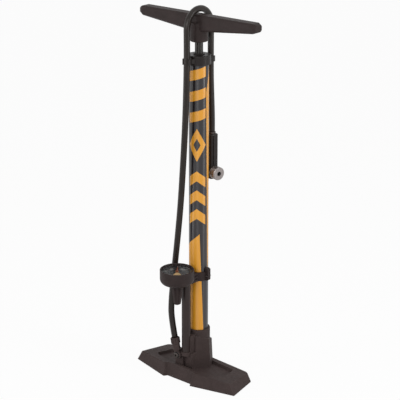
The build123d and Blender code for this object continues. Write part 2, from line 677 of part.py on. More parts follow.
def clamp_holes():
    """Holes for the clamp screws, which enter from the back."""
    holes = []
    for x, z in clamp_screw_places():
        holes.append(bar_along_y(CLAMP_SCREW_R + SEAT_GAP, -2 * CLAMP_EAR_THICK, 2 * CLAMP_EAR_THICK, x, z))
    return Compound(holes)


def clamp_half():
    """Back half of the clamp round the barrel."""
    clamp_r = BARREL_R + CLAMP_WALL
    half = rod(clamp_r, CLAMP_BOTTOM, CLAMP_TOP)
    half += clamp_ears(CLAMP_EAR_THICK)
    half -= block(-2 * clamp_r, 2 * clamp_r, -2 * clamp_r, CLAMP_SPLIT / 2, 0, GAUGE_TOP)
    half -= rod(BARREL_R + SEAT_GAP, 0, GAUGE_TOP)
    return half - clamp_holes()


def clamp_screws():
    """Two small screws that close the clamp."""
    screws = []
    for x, z in clamp_screw_places():
        shank = bar_along_y(CLAMP_SCREW_R, -CLAMP_EAR_THICK, CLAMP_EAR_THICK + 0.5, x, z)
        head = bar_along_y(CLAMP_SCREW_HEAD_R, CLAMP_EAR_THICK, CLAMP_EAR_THICK + CLAMP_SCREW_HEAD, x, z)
        screws.append(shank + head)
    return Compound(screws)


def gauge_bezel():
    """Ring that holds the lens on the cup."""
    bezel = rod(GAUGE_R, BEZEL_BOTTOM, GAUGE_TOP, 0, GAUGE_Y)
    bezel = fillet(bezel.edges().sort_by(Axis.Z)[-1], 1.2)
    bezel -= rod(lens_radius() + SEAT_GAP, BEZEL_BOTTOM - 1, GAUGE_TOP - BEZEL_LIP_THICK, 0, GAUGE_Y)
    lip = GAUGE_R - BEZEL_LIP
    bezel -= Pos(0, GAUGE_Y, GAUGE_TOP - BEZEL_LIP_THICK - 0.5) * Cone(
        lip - 0.5, lip + 1.0, BEZEL_LIP_THICK + 0.6, align=LOW)
    return bezel


def lens_radius():
    return GAUGE_R - 1.4


def gauge_lens():
    """Clear cover over the dial, held between the cup and the bezel's lip."""
    return rod(lens_radius(), BEZEL_BOTTOM, GAUGE_TOP - BEZEL_LIP_THICK - SEAT_GAP, 0, GAUGE_Y)


def gauge_dial():
    """Printed dial plate on its three posts."""
    dial = rod(GAUGE_R - GAUGE_WALL - SEAT_GAP, DIAL_Z - DIAL_THICK, DIAL_Z, 0, GAUGE_Y)
    dial -= rod(MOVEMENT_POST_R + SEAT_GAP, DIAL_Z - 5, DIAL_Z + 5, 0, GAUGE_Y)
    for angle in (30, 150, 270):
        x = (GAUGE_R - GAUGE_WALL - 4.2) * math.cos(math.radians(angle))
        y = GAUGE_Y + (GAUGE_R - GAUGE_WALL - 4.2) * math.sin(math.radians(angle))
        dial += rod(1.5, GAUGE_BOTTOM + GAUGE_FLOOR, DIAL_Z - DIAL_THICK + 0.2, x, y)
    return dial


def gauge_movement():
    """Brass plate and post that carry the needle's spindle."""
    low = GAUGE_BOTTOM + GAUGE_FLOOR
    plate = rod(MOVEMENT_PLATE_R, low, low + MOVEMENT_PLATE, 0, GAUGE_Y)
    plate += rod(MOVEMENT_POST_R, low, DIAL_Z, 0, GAUGE_Y)
    plate += block(-3.5, 3.5, GAUGE_Y - BOURDON_R - 2.5, GAUGE_Y - MOVEMENT_POST_R, low, low + 7)
    return plate - rod(SPINDLE_R + RUNNING_GAP, low + MOVEMENT_PLATE, DIAL_Z + 1, 0, GAUGE_Y)


def bourdon_tube():
    """Curved tube that uncurls with pressure and turns the needle."""
    z = GAUGE_BOTTOM + GAUGE_FLOOR + 7 - BOURDON_TUBE_R - 0.6
    start = 270 + 14
    path = Pos(0, GAUGE_Y, z) * Rot(0, 0, start) * CenterArc((0, 0), BOURDON_R, 0, BOURDON_ARC)
    profile = Plane(origin=path @ 0, z_dir=path % 0) * Ellipse(BOURDON_TUBE_R, BOURDON_TUBE_R * 0.7)
    return sweep(profile, path=path)


def gauge_needle():
    """Needle with its hub and spindle."""
    high = NEEDLE_Z + NEEDLE_THICK
    blade = make_face(Polyline((-NEEDLE_TAIL, -1.3), (-NEEDLE_TAIL, 1.3), (0, 1.5),
                               (NEEDLE_LENGTH, 0.35), (NEEDLE_LENGTH, -0.35), (0, -1.5), close=True))
    needle = Pos(0, 0, NEEDLE_Z) * extrude(blade, NEEDLE_THICK)
    needle += rod(NEEDLE_HUB_R, NEEDLE_Z, high + 0.4)
    needle = Rot(0, 0, NEEDLE_START) * needle
    needle += rod(SPINDLE_R, GAUGE_BOTTOM + GAUGE_FLOOR + MOVEMENT_PLATE + 1, NEEDLE_Z + 0.1)
    return Pos(0, GAUGE_Y, 0) * needle


# ---- top cap -----------------------------------------------------------------------------------------
def top_cap():
    """Screwed cap with the bush's seat and a snap clip for the hose at the front and the back."""
    cap = rod(CAP_R, CAP_SKIRT, CAP_TOP)
    cap = fillet(cap.edges().sort_by(Axis.Z)[-1], CAP_ROUND)
    cap += hose_clip(*CLIP_FRONT)
    cap += Rot(0, 0, 180) * hose_clip(*CLIP_BACK)
    cap -= rod(BARREL_R + SEAT_GAP, CAP_SKIRT - 1, BARREL_TOP)
    cap += rod(BARREL_BORE_R - SEAT_GAP, CAP_SPIGOT_BOTTOM, BARREL_TOP + 1)
    cap -= rod(BUSH_OUTER_R + SEAT_GAP, BUSH_BOTTOM - SEAL_HEIGHT, CAP_TOP + 1)
    cap -= rod(ROD_R + 0.5, 0, CAP_TOP + 1)
    return cap - rod(BUSH_FLANGE_R + SEAT_GAP, CAP_TOP - BUSH_FLANGE, CAP_TOP + 1)


def hose_clip(low, high):
    """One C-shaped clip in front of the cap, open away from it, on its spreading web."""
    near, far = -CAP_R + 2.5, -CLIP_Y + HOSE_R + 0.9
    roots = []
    for y, half, z0, z1 in ((near, CLIP_WEB_CAP_HALF, low + CLIP_WEB_DROP, high - 0.5),
                            (far, CLIP_WEB_HALF, low, high - CLIP_WEB_DROP)):
        corners = [(-half, y, z0), (half, y, z0), (half, y, z1), (-half, y, z1)]
        roots.append(make_face(Polyline(*corners, close=True)))
    clip = loft(roots, ruled=True)
    outer = HOSE_R + 0.1 + CLIP_WALL
    clip += rod(outer, low, high, 0, -CLIP_Y)
    half = math.radians(CLIP_MOUTH / 2)
    reach = 2 * outer
    side, front = reach * math.sin(half), -CLIP_Y - reach * math.cos(half)
    mouth = make_face(Polyline((0, -CLIP_Y, 0), (side, front, 0), (-side, front, 0), close=True))
    clip -= Pos(0, 0, low - 1) * extrude(mouth, high - low + 2)
    return clip - rod(HOSE_R + 0.1, low - 9, high + 9, 0, -CLIP_Y)


def rod_bush():
    """Guides the rod in the cap."""
    bush = rod(BUSH_OUTER_R, BUSH_BOTTOM, BUSH_TOP)
    bush += rod(BUSH_FLANGE_R, CAP_TOP - BUSH_FLANGE + SEAT_GAP, CAP_TOP)
    bush = chamfer(bush.edges().sort_by(Axis.Z)[-1], 0.6)
    return bush - rod(BUSH_BORE_R, 0, BUSH_TOP + 1)


def rod_seal():
    """Wiper ring under the bush."""
    return ring(BUSH_OUTER_R, BUSH_BORE_R, BUSH_BOTTOM - SEAL_HEIGHT, BUSH_BOTTOM)


def end_buffer():
    """Rubber stop for the piston under the cap."""
    return ring(BARREL_BORE_R - 1.0, ROD_R + 0.6, BUFFER_TOP - BUFFER_HEIGHT, BUFFER_TOP)


# ---- piston and rod ------------------------------------------------------------------------------------
def piston_rod():
    """Hollow steel rod, closed at its foot by the piston's screw and at its top by an insert."""
    tube = ring(ROD_R, ROD_R - ROD_WALL, PISTON_TOP, ROD_TOP)
    return tube


def rod_insert():
    """Threaded insert in the rod's top for the handle bolt."""
    depth = HANDLE_BOLT_DEEP + 4
    insert = rod(ROD_R - ROD_WALL - SEAT_GAP, ROD_TOP - depth, ROD_TOP)
    return insert - rod(HANDLE_BOLT_R + SEAT_GAP, ROD_TOP - HANDLE_BOLT_DEEP - REST_GAP, ROD_TOP + 1)


def piston():
    """Piston with its seal groove and a spigot up into the rod."""
    radius = BARREL_BORE_R - PISTON_FIT
    body = rod(radius, PISTON_BOTTOM, PISTON_TOP)
    body = chamfer(body.edges(), 0.8)
    body += rod(ROD_R - ROD_WALL - SEAT_GAP, PISTON_TOP - 1, PISTON_TOP + 14)
    groove = PISTON_BOTTOM + SEAL_GROOVE_Z
    body -= ring(radius + 1, radius - SEAL_WIRE, groove, groove + SEAL_WIRE + 0.6)
    for i in range(4):
        body -= Rot(0, 0, 90 * i) * rod(1.5, PISTON_BOTTOM - 1, PISTON_TOP + 1, radius * 0.68, 0)
    pocket = PISTON_NUT_R + REST_GAP
    body -= rod(pocket, PISTON_BOTTOM - 1, PISTON_BOTTOM + PISTON_NUT)
    return body - rod(2.5 + SEAT_GAP, PISTON_BOTTOM, PISTON_TOP + 16)


def piston_seal():
    """Round seal that floats in the piston's groove and works as the intake valve."""
    z = PISTON_BOTTOM + SEAL_GROOVE_Z + SEAL_WIRE / 2 + 0.3
    return torus(BARREL_BORE_R - 0.25 - SEAL_WIRE / 2, SEAL_WIRE, z)


def piston_screw():
    """Screw that holds the piston on the rod."""
    head = Pos(0, 0, PISTON_BOTTOM + 0.4) * extrude(RegularPolygon(PISTON_NUT_R, 6), PISTON_NUT - 0.4)
    return head + rod(2.5, PISTON_BOTTOM + 1, PISTON_TOP + 12)


# ---- handle ------------------------------------------------------------------------------------------
def handle_section(x, depth, height, shrink=0.0):
    """Chamfered section of the bar at one place along it."""
    half = depth / 2 - shrink
    top = HANDLE_TOP - shrink
    low = HANDLE_TOP - height + shrink
    a, b = HANDLE_TOP_CHAMFER, HANDLE_BOTTOM_CHAMFER
    points = [(half - a, top), (half, top - a), (half, low + b), (half - b, low),
              (-half + b, low), (-half, low + b), (-half, top - a), (-half + a, top)]
    return make_face(Polyline(*[(x, y, z) for y, z in points], close=True))


def handle_bar():
    """Bar that tapers to its ends, with the hub that turns on the rod's top."""
    shoulder = HANDLE_HALF - HANDLE_END_BEVEL
    stations = [
        (-HANDLE_HALF, HANDLE_DEPTH_END, HANDLE_HEIGHT_END, 2.4),
        (-shoulder, HANDLE_DEPTH_END, HANDLE_HEIGHT_END, 0.0),
        (-HUB_R, HANDLE_DEPTH_MID, HANDLE_HEIGHT_MID, 0.0),
        (HUB_R, HANDLE_DEPTH_MID, HANDLE_HEIGHT_MID, 0.0),
        (shoulder, HANDLE_DEPTH_END, HANDLE_HEIGHT_END, 0.0),
        (HANDLE_HALF, HANDLE_DEPTH_END, HANDLE_HEIGHT_END, 2.4),
    ]
    bar = loft([handle_section(*station) for station in stations], ruled=True)
    hub = rod(HUB_R, HUB_BOTTOM, HANDLE_TOP - HANDLE_HEIGHT_MID / 2)
    hub = fillet(hub.edges().sort_by(Axis.Z)[0], HUB_ROUND)
    bar += hub
    bar -= rod(ROD_R + RUNNING_GAP, HUB_BOTTOM - 1, WEB_BOTTOM)
    bar -= rod(HANDLE_BOLT_R + RUNNING_GAP, WEB_BOTTOM - 1, WEB_TOP + 1)
    return bar - rod(HANDLE_WELL_R, WEB_TOP, HANDLE_TOP + 1)


def handle_washer():
    return ring(HANDLE_WELL_R - 0.8, HANDLE_BOLT_R + SEAT_GAP, WASHER_Z, WASHER_Z + HANDLE_WASHER)


def handle_bolt():
    """Socket-head bolt down through the handle into the rod."""
    head_z = WASHER_Z + HANDLE_WASHER
    bolt = rod(HANDLE_BOLT_R, ROD_TOP - HANDLE_BOLT_DEEP, head_z + 0.5)
    bolt += rod(HANDLE_BOLT_HEAD_R, head_z, head_z + HANDLE_BOLT_HEAD)
    return bolt - Pos(0, 0, head_z + HANDLE_BOLT_HEAD - 2.4) * extrude(RegularPolygon(2.9, 6), 3)


def handle_plug():
    """Snap-in cover over the bolt."""
    return rod(HANDLE_WELL_R - SEAT_GAP, HANDLE_TOP - HANDLE_PLUG, HANDLE_TOP)


# ---- lever head ----------------------------------------------------------------------------------------
def head_frame():
    """Frame at the crossing of the chuck's bore and the body, with X along the bore."""
    return Pos(HEAD_X, HEAD_Y, HEAD_Z) * Rot(0, 0, HEAD_TURN)


def head_body():
    """Moulded body with the cross bore, the lever's ears and a rib on its outer side."""
    half, deep = HEAD_WIDTH / 2, HEAD_DEPTH / 2
    body = block(-half, half, -deep, deep, -HEAD_BELOW, HEAD_ABOVE)
    body = fillet(body.edges().filter_by(Axis.Z), HEAD_ROUND)
    body = fillet(body.edges().group_by(Axis.Z)[-1], 2.0)
    body = fillet(body.edges().group_by(Axis.Z)[0], 2.0)
    body += block(half - 1, half + HEAD_RIB_PROUD, -HEAD_RIB_HALF, HEAD_RIB_HALF,
                  CHUCK_R + 3, HEAD_ABOVE - 2)
    ear = bar_along_y(LEVER_EAR_R, -deep, deep, LEVER_PIVOT_X, 0)
    ear += block(LEVER_PIVOT_X, 0, -deep, deep, -LEVER_EAR_R, LEVER_EAR_R)
    body += ear
    slot = LEVER_CAM_WIDTH / 2 + LEVER_SLOT_GAP
    swing = LEVER_CAM_R + PLUNGER_TRAVEL + 0.6
    body -= block(LEVER_PIVOT_X - 20, LEVER_PIVOT_X + swing, -slot, slot, -HEAD_BELOW - 1, swing)
    body -= block(LEVER_PIVOT_X - 20, -half - 0.01, -slot, slot, 0, HEAD_ABOVE)
    body -= bar_along_x(HEAD_BORE_R, 0, half + 9)
    body -= bar_along_x(PLUNGER_R + RUNNING_GAP, LEVER_PIVOT_X + 2, 1)
    body -= bar_along_x(CHUCK_SPIGOT_R + SEAT_GAP, CHUCK_START - 4, half + 9)
    body -= bar_along_y(LEVER_PIN_R + SEAT_GAP, -deep - 2, deep + 2, LEVER_PIVOT_X, 0)
    body -= rod(2.0, 0, HEAD_ABOVE + 1)
    return head_frame() * body


def head_ferrule():
    """Collar on the head's top that grips the hose."""
    ferrule = rod(HEAD_FERRULE_R, HEAD_ABOVE, HEAD_FERRULE_ABOVE)
    ferrule = chamfer(ferrule.edges().sort_by(Axis.Z)[-1], 1.0)
    return head_frame() * (ferrule - rod(2.0, HEAD_ABOVE - 1, HEAD_FERRULE_ABOVE + 1))


def chuck_cap():
    """Knurled ring that holds the rubber gasket in the head."""
    cap = bar_along_x(CHUCK_R, CHUCK_START + 1.5, CHUCK_FACE)
    cap = chamfer(cap.edges().sort_by(Axis.X)[-1], 1.2)
    for i in range(16):
        notch = block(CHUCK_START + 3.5, CHUCK_FACE - 3, -0.9, 0.9, CHUCK_R - 0.5, CHUCK_R + 1)
        cap -= Rot(22.5 * i, 0, 0) * notch
    cap += bar_along_x(CHUCK_SPIGOT_R, CHUCK_START - 3, CHUCK_START + 2)
    cap -= bar_along_x(GASKET_R + SEAT_GAP, CHUCK_START - 4, CHUCK_FACE - CHUCK_LIP)
    cap -= bar_along_x(VALVE_SOCKET_R, CHUCK_START - 4, CHUCK_FACE + 1)
    return head_frame() * cap


def chuck_gasket():
    """Rubber sleeve that grips the tyre valve."""
    gasket = bar_along_x(GASKET_R, GASKET_START, CHUCK_FACE - CHUCK_LIP)
    return head_frame() * (gasket - bar_along_x(VALVE_SOCKET_R, 0, CHUCK_FACE))


def head_plunger():
    """Pushed by the cam to squeeze the gasket on the valve."""
    plunger = bar_along_x(PLUNGER_R, PLUNGER_START, PLUNGER_END)
    return head_frame() * (plunger - bar_along_x(1.5, PLUNGER_START + 2, PLUNGER_END + 1))


def head_lever():
    """Thumb lever with its cam; it lies along the body and swings out to lock."""
    outside = -HEAD_WIDTH / 2 - REST_GAP
    cam = Pos(LEVER_PIVOT_X, 0, -PLUNGER_TRAVEL) * Rot(-90, 0, 0) * Cylinder(LEVER_CAM_R, LEVER_CAM_WIDTH)
    neck_low = -PLUNGER_TRAVEL
    neck_high = LEVER_EAR_R + 4
    cam += block(outside - LEVER_THICK - 2.5, LEVER_PIVOT_X, -LEVER_CAM_WIDTH / 2, LEVER_CAM_WIDTH / 2,
                 neck_low, 3)
    cam += block(outside - LEVER_THICK - 2.5, outside - 0.6, -LEVER_CAM_WIDTH / 2, LEVER_CAM_WIDTH / 2,
                 neck_low, neck_high)
    blade = block(outside - LEVER_THICK - 2.5, outside - 2.5, -LEVER_WIDTH / 2, LEVER_WIDTH / 2,
                  neck_high - 1, LEVER_LENGTH)
    blade = fillet(blade.edges().filter_by(Axis.X).group_by(Axis.Z)[-1], 4.0)
    lever = cam + blade
    return head_frame() * (lever - bar_along_y(LEVER_PIN_R + RUNNING_GAP, -9, 9, LEVER_PIVOT_X, 0))


def lever_pin():
    """Pin through the ears."""
    return head_frame() * bar_along_y(LEVER_PIN_R, -HEAD_DEPTH / 2, HEAD_DEPTH / 2, LEVER_PIVOT_X, 0)


def main():
    os.makedirs("parts", exist_ok=True)
    save("base_foot", base_foot())
    save("foot_pad_left", side_pad(-1))
    save("foot_pad_right", side_pad(1))
    save("foot_pad_centre", centre_pad())
    save("base_screws", base_screws())
    save("barrel_tube", barrel_tube())
    save("barrel_plug", barrel_plug())
    save("plug_oring", plug_oring())
    save("check_ball", check_ball())
    save("valve_spring", valve_spring())
    save("gauge_riser", gauge_riser())
    save("hose_union", hose_union())
    save("union_bolt", union_bolt())
    save("union_seals", union_seals())
    save("hose_sleeve", hose_sleeve())
    save("hose_riser", hose(RISER_ROUTE, "hose_riser"))
    save("hose_loop", hose(LOOP_ROUTE, "hose_loop"))
    save("hose_drop", hose(DROP_ROUTE, "hose_drop"))
    save("gauge_housing", gauge_housing())
    save("clamp_half", clamp_half())
    save("clamp_screws", clamp_screws())
    save("gauge_bezel", gauge_bezel())
    save("gauge_lens", gauge_lens())
    save("gauge_dial", gauge_dial())
    save("gauge_movement", gauge_movement())
    save("bourdon_tube", bourdon_tube())
    save("gauge_needle", gauge_needle())
    save("top_cap", top_cap())
    save("rod_bush", rod_bush())
    save("rod_seal", rod_seal())
    save("end_buffer", end_buffer())
    save("piston_rod", piston_rod())
    save("rod_insert", rod_insert())
    save("piston", piston())
    save("piston_seal", piston_seal())
    save("piston_screw", piston_screw())
    save("handle_bar", handle_bar())
    save("handle_washer", handle_washer())
    save("handle_bolt", handle_bolt())
    save("handle_plug", handle_plug())
    save("head_body", head_body())
    save("head_ferrule", head_ferrule())
    save("chuck_cap", chuck_cap())
    save("chuck_gasket", chuck_gasket())
    save("head_plunger", head_plunger())
    save("head_lever", head_lever())
    save("lever_pin", lever_pin())


main()
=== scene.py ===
"""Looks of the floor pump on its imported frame: foot, barrel and rod, then gauge, hose and head."""
import math

import bpy
from mathutils import Matrix, Vector


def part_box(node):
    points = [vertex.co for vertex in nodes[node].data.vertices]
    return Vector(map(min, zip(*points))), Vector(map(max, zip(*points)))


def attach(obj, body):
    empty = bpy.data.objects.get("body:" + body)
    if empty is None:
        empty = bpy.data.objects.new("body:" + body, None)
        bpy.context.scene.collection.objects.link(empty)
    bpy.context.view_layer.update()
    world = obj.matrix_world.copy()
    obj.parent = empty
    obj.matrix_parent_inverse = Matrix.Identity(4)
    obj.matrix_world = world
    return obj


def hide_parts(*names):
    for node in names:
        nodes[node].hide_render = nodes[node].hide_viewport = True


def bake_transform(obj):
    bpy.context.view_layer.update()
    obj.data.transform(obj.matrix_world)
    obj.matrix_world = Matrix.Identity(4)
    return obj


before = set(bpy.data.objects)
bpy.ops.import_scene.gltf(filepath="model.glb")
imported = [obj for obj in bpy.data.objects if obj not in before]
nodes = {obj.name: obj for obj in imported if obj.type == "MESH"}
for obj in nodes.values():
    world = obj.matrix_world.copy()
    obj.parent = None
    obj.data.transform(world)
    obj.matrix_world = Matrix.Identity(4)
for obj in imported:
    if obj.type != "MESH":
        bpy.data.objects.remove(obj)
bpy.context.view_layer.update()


# ---- Studio --------------------------------------------------------------------------------------
# A white sweep under four soft boxes: two tall strips that draw the shine down the barrel's sides,
# one box in front and one overhead. The floor looks white to the camera, in reflections and through
# glass, and keeps only a faint shadow of the foot.
FLOOR_SIDE = 60.0
WHITE_SEEN = 1.0        # strength at which the floor and the world look plain white
FLOOR_SHADOW = 0.05     # how much of the floor's own shading shows
WORLD_LIGHT = 0.32

CAMERA_PLACE = Vector((1.4746, -1.7116, 1.0961))
CAMERA_AIM = Vector((0.0, 0.0, 0.330))
CAMERA_ROLL = math.radians(0.1)
CAMERA_LENS = 124.3
CAMERA_SENSOR = 36.0
CAMERA_SHIFT_X = 0.00325
CAMERA_SHIFT_Y = -0.0075
CAMERA_REACH = 20.0


def deselect_all():
    """Nothing stays selected, so an operator acts on the next piece alone."""
    if bpy.context.mode != "OBJECT":
        bpy.ops.object.mode_set(mode="OBJECT")
    bpy.ops.object.select_all(action="DESELECT")


def new_material(name, base_color, roughness, metallic=0.0):
    """A material with its shader's plain values set, and that shader to build on."""
    material = bpy.data.materials.new(name)
    material.use_nodes = True
    shader = material.node_tree.nodes["Principled BSDF"]
    shader.inputs["Base Color"].default_value = (*base_color, 1.0)
    shader.inputs["Roughness"].default_value = roughness
    shader.inputs["Metallic"].default_value = metallic
    return material, shader


def worked_out(tree, operation, *values):
    """The result of a Math node on numbers or on what other nodes give."""
    node = tree.nodes.new("ShaderNodeMath")
    node.operation = operation
    for socket, value in zip(node.inputs, values):
        if isinstance(value, (int, float)):
            socket.default_value = value
        else:
            tree.links.new(value, socket)
    return node.outputs[0]


def seen_rays(tree):
    """1 for the rays that meet plain white: from the camera, in a reflection or through glass."""
    rays = tree.nodes.new("ShaderNodeLightPath")
    seen = rays.outputs["Is Camera Ray"]
    for kind in ("Is Glossy Ray", "Is Transmission Ray"):
        seen = worked_out(tree, "MAXIMUM", seen, rays.outputs[kind])
    return seen


def soft_box(name, place, aim, wide, tall, power):
    """A rectangular area lamp at a place, turned to what it lights."""
    deselect_all()
    bpy.ops.object.light_add(type="AREA", location=place)
    lamp = bpy.context.object
    lamp.name = name
    lamp.data.shape = "RECTANGLE"
    lamp.data.size = wide
    lamp.data.size_y = tall
    lamp.data.energy = power
    lamp.rotation_euler = (Vector(aim) - Vector(place)).to_track_quat("-Z", "Y").to_euler()


deselect_all()
bpy.ops.mesh.primitive_plane_add(size=FLOOR_SIDE, location=(0, 0, 0))
floor = bpy.context.object
floor.name = "studio_floor"
floor_paper, floor_shader = new_material("floor_paper", (0.9, 0.9, 0.9), 0.9)
tree = floor_paper.node_tree
glow = tree.nodes.new("ShaderNodeEmission")
glow.inputs["Strength"].default_value = WHITE_SEEN
blend_floor = tree.nodes.new("ShaderNodeMixShader")
tree.links.new(worked_out(tree, "MULTIPLY", seen_rays(tree), 1.0 - FLOOR_SHADOW),
               blend_floor.inputs["Fac"])
tree.links.new(floor_shader.outputs[0], blend_floor.inputs[1])
tree.links.new(glow.outputs[0], blend_floor.inputs[2])
tree.links.new(blend_floor.outputs[0], tree.nodes["Material Output"].inputs["Surface"])
floor.data.materials.append(floor_paper)

world = bpy.data.worlds.new("studio_world")
bpy.context.scene.world = world
world.use_nodes = True
tree = world.node_tree
background = tree.nodes["Background"]
background.inputs["Color"].default_value = (1.0, 1.0, 1.0, 1.0)
strength = tree.nodes.new("ShaderNodeMapRange")
strength.inputs["To Min"].default_value = WORLD_LIGHT
strength.inputs["To Max"].default_value = WHITE_SEEN
tree.links.new(seen_rays(tree), strength.inputs["Value"])
tree.links.new(strength.outputs["Result"], background.inputs["Strength"])

soft_box("box_left", place=(-0.54, -1.02, 0.6), aim=(0, 0, 0.35), wide=0.20, tall=1.0, power=3.2)
soft_box("box_right", place=(1.12, 0.26, 0.80), aim=(0, 0, 0.45), wide=0.26, tall=1.0, power=6.2)
soft_box("box_front", place=(0.95, -1.95, 1.3), aim=(0, 0, 0.10), wide=0.9, tall=0.9, power=15.5)
soft_box("box_top", place=(0.2, -0.3, 2.4), aim=(0, 0, 0.2), wide=1.4, tall=1.4, power=3.0)

deselect_all()
bpy.ops.object.camera_add(location=CAMERA_PLACE)
camera = bpy.context.object
camera.name = "studio_camera"
look = (CAMERA_AIM - CAMERA_PLACE).to_track_quat("-Z", "Y").to_matrix()
camera.rotation_euler = (look @ Matrix.Rotation(CAMERA_ROLL, 3, "Z")).to_euler()
camera.data.lens = CAMERA_LENS
camera.data.sensor_width = CAMERA_SENSOR
camera.data.shift_x = CAMERA_SHIFT_X
camera.data.shift_y = CAMERA_SHIFT_Y
camera.data.clip_end = CAMERA_REACH
bpy.context.scene.camera = camera
bpy.context.scene.view_settings.view_transform = "Standard"


# ---- Foot and other charcoal mouldings -----------------------------------------------------------
# The foot, handle, cap, gauge cup and head are moulded in a glass-filled plastic, charcoal with a
# warm cast. A fine spark-eroded grain breaks up its shine, and the flow of the melt leaves faint
# clouds.
SPECKLE_SPAN = (0.3, 0.7)       # most of a noise lies in this span
TONE_SPAN = (0.35, 0.65)
MOULD_GRAIN = 0.00012


def speckle(tree, scale, detail=3.0, roughness=0.55, stretch=(1.0, 1.0, 1.0)):
    """Fine irregular noise that stays with the piece."""
    place = tree.nodes.new("ShaderNodeTexCoord")
    mapping = tree.nodes.new("ShaderNodeMapping")
    mapping.inputs["Scale"].default_value = stretch
    noise = tree.nodes.new("ShaderNodeTexNoise")
    noise.inputs["Scale"].default_value = scale
    noise.inputs["Detail"].default_value = detail
    noise.inputs["Roughness"].default_value = roughness
    tree.links.new(place.outputs["Object"], mapping.inputs["Vector"])
    tree.links.new(mapping.outputs["Vector"], noise.inputs["Vector"])
    return noise.outputs["Fac"]


def bumped(tree, shader, height, strength, depth):
    """Raise the surface by a pattern."""
    bump = tree.nodes.new("ShaderNodeBump")
    bump.inputs["Strength"].default_value = strength
    bump.inputs["Distance"].default_value = depth
    tree.links.new(height, bump.inputs["Height"])
    tree.links.new(bump.outputs["Normal"], shader.inputs["Normal"])


def roughened(tree, shader, pattern, low, high):
    """Let a pattern move the roughness between two values."""
    spread = tree.nodes.new("ShaderNodeMapRange")
    spread.inputs["From Min"].default_value, spread.inputs["From Max"].default_value = SPECKLE_SPAN
    spread.inputs["To Min"].default_value = low
    spread.inputs["To Max"].default_value = high
    tree.links.new(pattern, spread.inputs["Value"])
    tree.links.new(spread.outputs["Result"], shader.inputs["Roughness"])


def two_tone(tree, shader, pattern, dark, light):
    """Colour the surface between two tones by a pattern."""
    ramp = tree.nodes.new("ShaderNodeValToRGB")
    for stop, position, colour in zip(ramp.color_ramp.elements, TONE_SPAN, (dark, light)):
        stop.position = position
        stop.color = (*colour, 1.0)
    tree.links.new(pattern, ramp.inputs["Fac"])
    tree.links.new(ramp.outputs["Color"], shader.inputs["Base Color"])


def moulded_plastic(name, dark, light, rough, gloss):
    """Grained moulded plastic in two close tones."""
    material, shader = new_material(name, dark, rough[0])
    shader.inputs["Specular IOR Level"].default_value = gloss
    tree = material.node_tree
    two_tone(tree, shader, speckle(tree, 60.0, detail=4.0), dark, light)
    roughened(tree, shader, speckle(tree, 220.0), *rough)
    bumped(tree, shader, speckle(tree, 2400.0, detail=2.0), strength=0.35, depth=MOULD_GRAIN)
    return material


def dress(material, *names):
    """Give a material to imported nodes."""
    for name in names:
        nodes[name].data.materials.clear()
        nodes[name].data.materials.append(material)


foot_plastic = moulded_plastic("foot_moulding", (0.048, 0.034, 0.032), (0.058, 0.041, 0.039),
                               rough=(0.56, 0.70), gloss=0.14)
dress(foot_plastic, "base_foot", "hose_sleeve", "hose_union", "piston")
grip_plastic = moulded_plastic("grip_moulding", (0.026, 0.0175, 0.0165), (0.033, 0.022, 0.021),
                               rough=(0.50, 0.62), gloss=0.18)
dress(grip_plastic, "handle_bar", "handle_plug", "gauge_housing", "gauge_bezel", "clamp_half")
cap_plastic = moulded_plastic("cap_moulding", (0.010, 0.0070, 0.0062), (0.015, 0.0105, 0.0095),
                              rough=(0.36, 0.48), gloss=0.25)
dress(cap_plastic, "top_cap", "rod_bush", "head_body", "head_lever", "head_plunger")


# ---- Rubber pads and rings -----------------------------------------------------------------------
# Three pads of soft black rubber under the foot, and the moulded seals, washers and stop inside the
# pump. All are dull, with a fine bloom.
pad_rubber, shader = new_material("pad_rubber", (0.018, 0.018, 0.018), 0.75)
tree = pad_rubber.node_tree
roughened(tree, shader, speckle(tree, 150.0), 0.65, 0.85)
bumped(tree, shader, speckle(tree, 1600.0), strength=0.4, depth=0.0001)
dress(pad_rubber, "foot_pad_left", "foot_pad_right", "foot_pad_centre", "plug_oring",
      "union_seals", "rod_seal", "end_buffer", "piston_seal", "chuck_gasket")


# ---- Steel, zinc and brass fittings --------------------------------------------------------------
# Small turned parts. The screws, the lever's pin and the check valve's ball and spring are zinc
# plated, the movement is brass, the plug and the insert are bare aluminium, and the union's bolt
# and the head's ferrule are blackened steel.
def turned_metal(name, dark, light, rough, stretch=(1.0, 1.0, 1.0)):
    """Bare metal with faint tool marks."""
    material, shader = new_material(name, dark, rough, metallic=1.0)
    tree = material.node_tree
    marks = speckle(tree, 500.0, detail=2.0, roughness=0.5, stretch=stretch)
    two_tone(tree, shader, marks, dark, light)
    roughened(tree, shader, speckle(tree, 300.0), rough - 0.06, rough + 0.08)
    return material


zinc = turned_metal("zinc_plate", (0.50, 0.50, 0.49), (0.62, 0.62, 0.60), 0.32)
dress(zinc, "base_screws", "check_ball", "valve_spring", "clamp_screws", "piston_screw",
      "handle_bolt", "handle_washer", "lever_pin")
brass = turned_metal("movement_brass", (0.58, 0.40, 0.16), (0.70, 0.50, 0.22), 0.3)
dress(brass, "gauge_movement", "bourdon_tube")
aluminium = turned_metal("turned_aluminium", (0.62, 0.63, 0.64), (0.74, 0.75, 0.76), 0.3,
                         stretch=(1.0, 1.0, 8.0))
dress(aluminium, "barrel_plug", "rod_insert")
blackened = turned_metal("blackened_steel", (0.060, 0.050, 0.047), (0.082, 0.069, 0.065), 0.4)
dress(blackened, "union_bolt", "head_ferrule")


